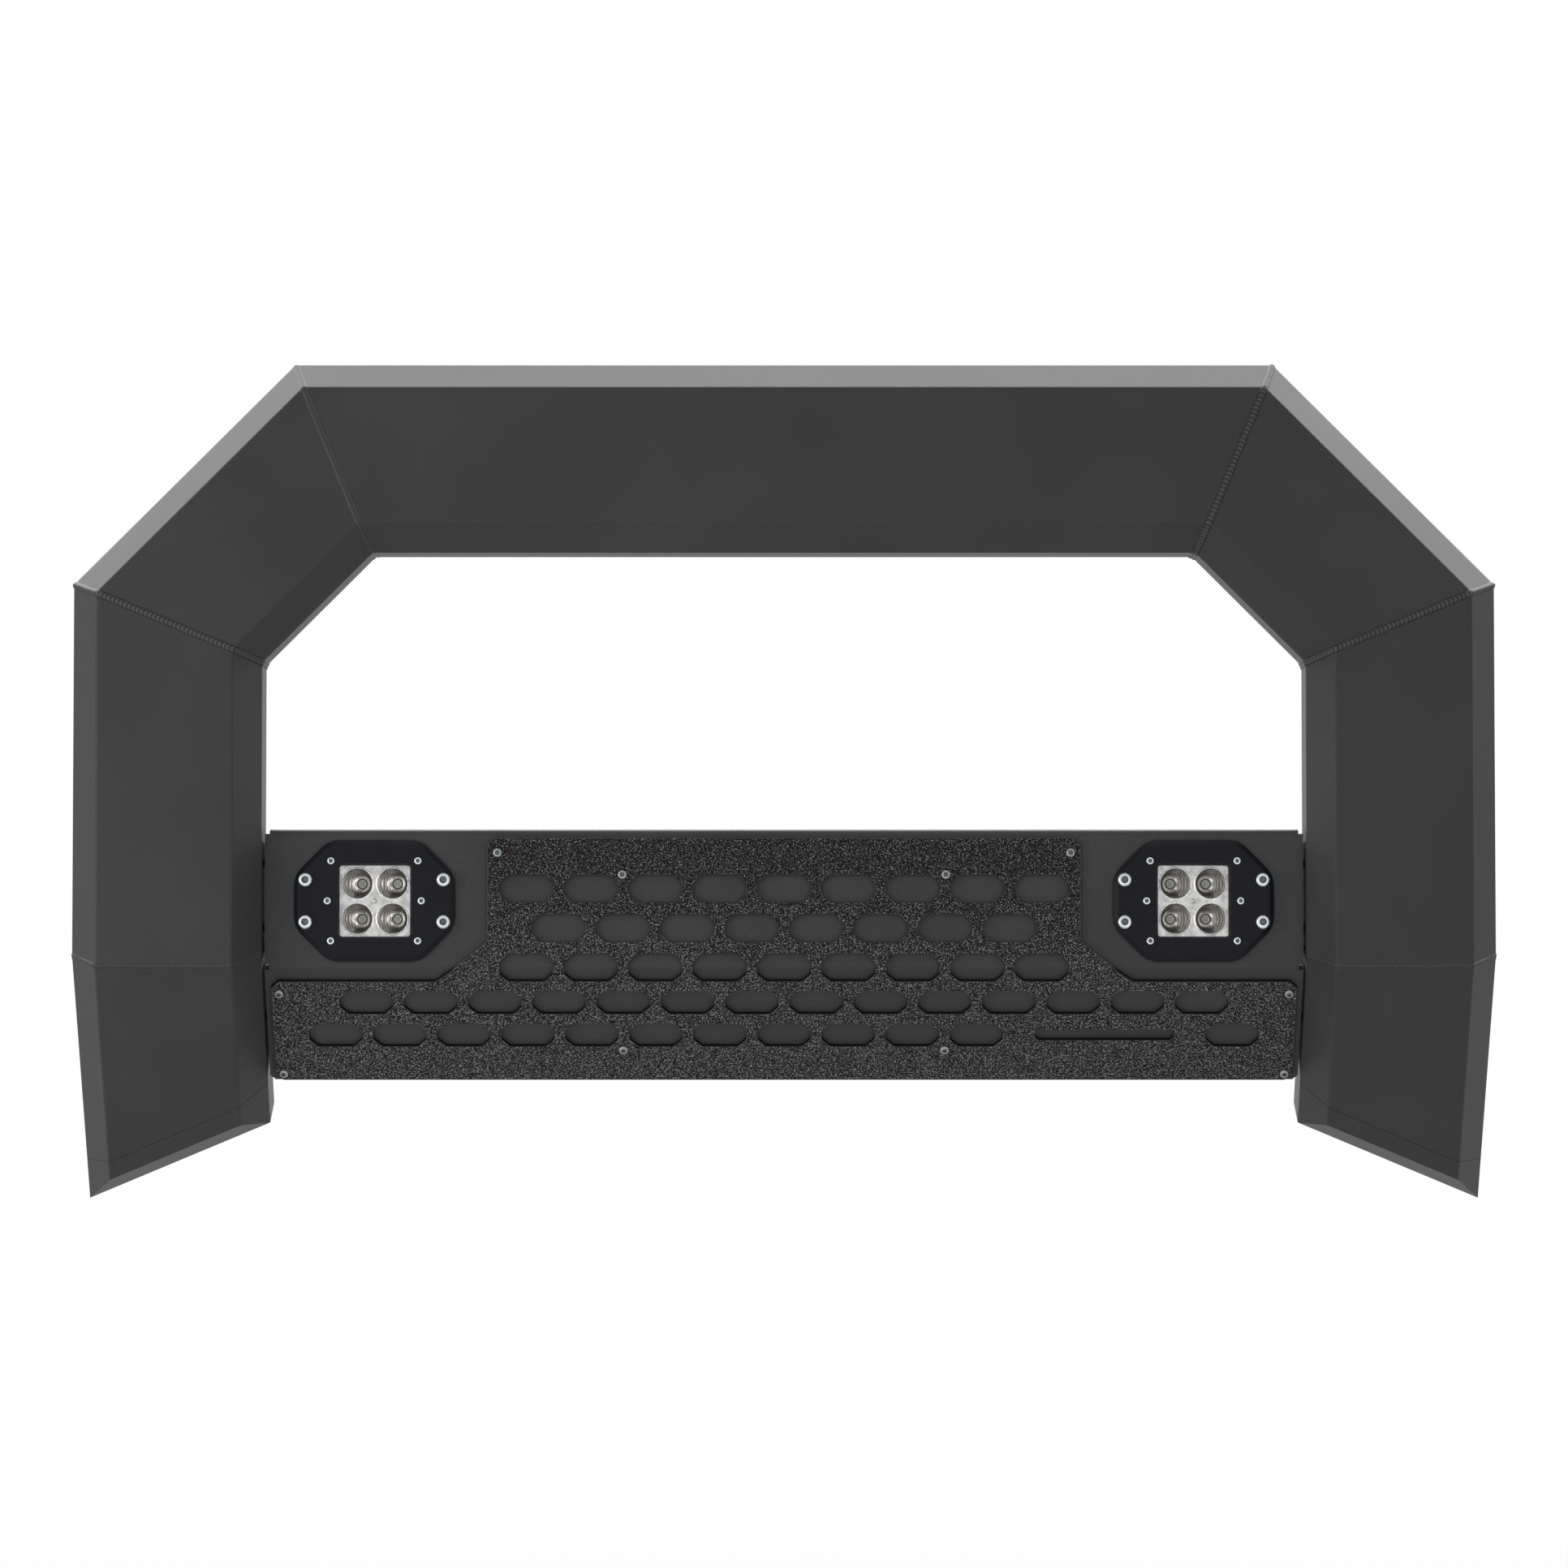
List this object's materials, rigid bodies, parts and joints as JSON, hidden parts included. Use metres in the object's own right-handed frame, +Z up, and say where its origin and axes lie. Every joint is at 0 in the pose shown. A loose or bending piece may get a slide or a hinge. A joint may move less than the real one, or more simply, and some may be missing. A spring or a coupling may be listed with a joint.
{
  "type": "bull bar",
  "caption": "Truck front guard: arch of welded eight-sided tube on swept-back legs, with a bent light panel, slotted cover plate and flush work lights.",
  "frame": {"origin": "on the centreline, midway between the hole patterns of the two mounting plates", "axes": "+X to the viewer's right seen from the front, +Y to the rear towards the vehicle, +Z up"},
  "size_m": [1.0634, 0.2111, 0.6255],
  "materials": {
    "powder_coat": "fine-textured satin black powder coat on steel tube",
    "weld_coat": "rippled weld bead under the same powder coat",
    "panel_coat": "smooth satin dark grey powder coat on sheet steel",
    "textured_coat": "coarse-textured matte black coat",
    "bezel_coat": "satin black coat on cast aluminium",
    "clear_lens": "clear polycarbonate",
    "gasket_rubber": "matte black rubber",
    "mirror_finish": "vacuum-metallised reflector",
    "led_board": "white circuit board",
    "cast_housing": "black cast aluminium with cooling fins",
    "gland_nylon": "black nylon",
    "zinc_steel": "zinc-plated steel"
  },
  "bodies": {
    "root": {"cover_plate": "textured_coat", "left_cable_gland": "gland_nylon", "left_corner_tube": "powder_coat", "left_cover_screw_1": "zinc_steel", "left_cover_screw_2": "zinc_steel", "left_cover_screw_3": "zinc_steel", "left_cover_screw_4": "zinc_steel", "left_cover_screw_5": "zinc_steel", "left_end_cap": "powder_coat", "left_flange_bolt_1": "zinc_steel", "left_flange_bolt_2": "zinc_steel", "left_flange_bolt_3": "zinc_steel", "left_knee_weld": "weld_coat", "left_led_board": "led_board", "left_lens_gasket": "gasket_rubber", "left_light_bezel": "bezel_coat", "left_light_housing": "cast_housing", "left_light_lens": "clear_lens", "left_light_screw_1": "zinc_steel", "left_light_screw_2": "zinc_steel", "left_light_screw_3": "zinc_steel", "left_light_screw_4": "zinc_steel", "left_lower_leg_tube": "powder_coat", "left_mounting_plate": "powder_coat", "left_reflector": "mirror_finish", "left_shoulder_weld": "weld_coat", "left_top_weld": "weld_coat", "left_upright_tube": "powder_coat", "light_panel": "panel_coat", "right_cable_gland": "gland_nylon", "right_corner_tube": "powder_coat", "right_cover_screw_1": "zinc_steel", "right_cover_screw_2": "zinc_steel", "right_cover_screw_3": "zinc_steel", "right_cover_screw_4": "zinc_steel", "right_cover_screw_5": "zinc_steel", "right_end_cap": "powder_coat", "right_flange_bolt_1": "zinc_steel", "right_flange_bolt_2": "zinc_steel", "right_flange_bolt_3": "zinc_steel", "right_knee_weld": "weld_coat", "right_led_board": "led_board", "right_lens_gasket": "gasket_rubber", "right_light_bezel": "bezel_coat", "right_light_housing": "cast_housing", "right_light_lens": "clear_lens", "right_light_screw_1": "zinc_steel", "right_light_screw_2": "zinc_steel", "right_light_screw_3": "zinc_steel", "right_light_screw_4": "zinc_steel", "right_lower_leg_tube": "powder_coat", "right_mounting_plate": "powder_coat", "right_reflector": "mirror_finish", "right_shoulder_weld": "weld_coat", "right_top_weld": "weld_coat", "right_upright_tube": "powder_coat", "top_tube": "powder_coat"}
  },
  "joints": []
}
